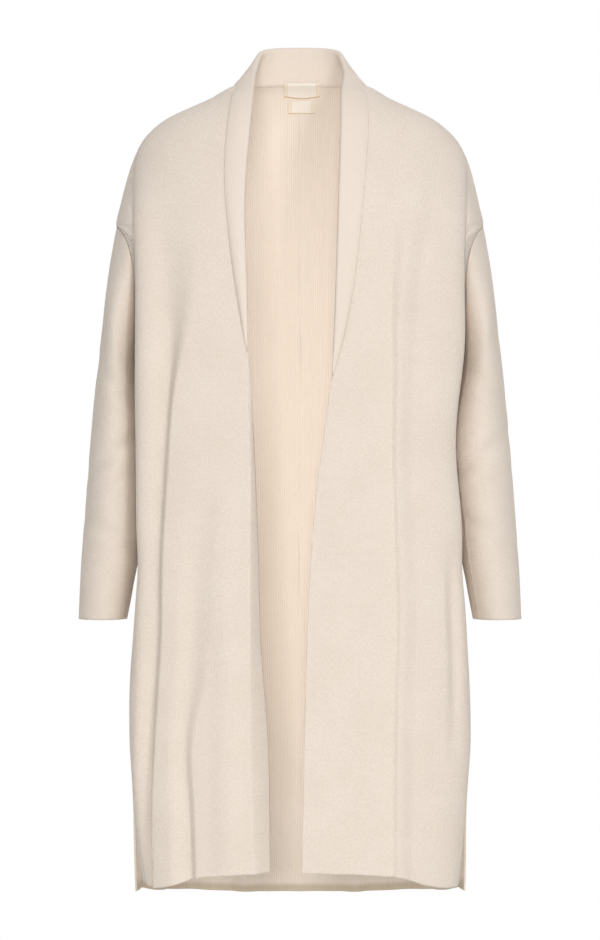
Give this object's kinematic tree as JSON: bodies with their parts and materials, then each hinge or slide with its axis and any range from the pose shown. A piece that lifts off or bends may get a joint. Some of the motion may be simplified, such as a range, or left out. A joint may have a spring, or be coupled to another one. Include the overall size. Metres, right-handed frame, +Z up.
{
  "type": "waterfall cardigan",
  "caption": "Long open-front cardigan in soft milled knit, with a rolled shawl collar, dropped shoulders, side vents and a longer back hem.",
  "frame": {"origin": "middle of the neck at the height of the shoulders' high points", "axes": "+Z up, the garment faces -Y, the wearer's left is +X"},
  "size_m": [0.5532, 0.2627, 1.0798],
  "materials": {
    "milled_jersey": "cream wool jersey, lightly milled, soft matt nap outside and fine ribs inside",
    "collar_jersey": "the same cream jersey rolled open, fine lengthwise wales",
    "woven_label": "plain cream satin-woven label, bare"
  },
  "bodies": {
    "root": {"back": "milled_jersey", "front_right": "milled_jersey", "front_left": "milled_jersey", "sleeve_right": "milled_jersey", "sleeve_left": "milled_jersey", "collar_right": "collar_jersey", "collar_left": "collar_jersey", "label_main": "woven_label", "label_small": "woven_label"}
  },
  "joints": []
}
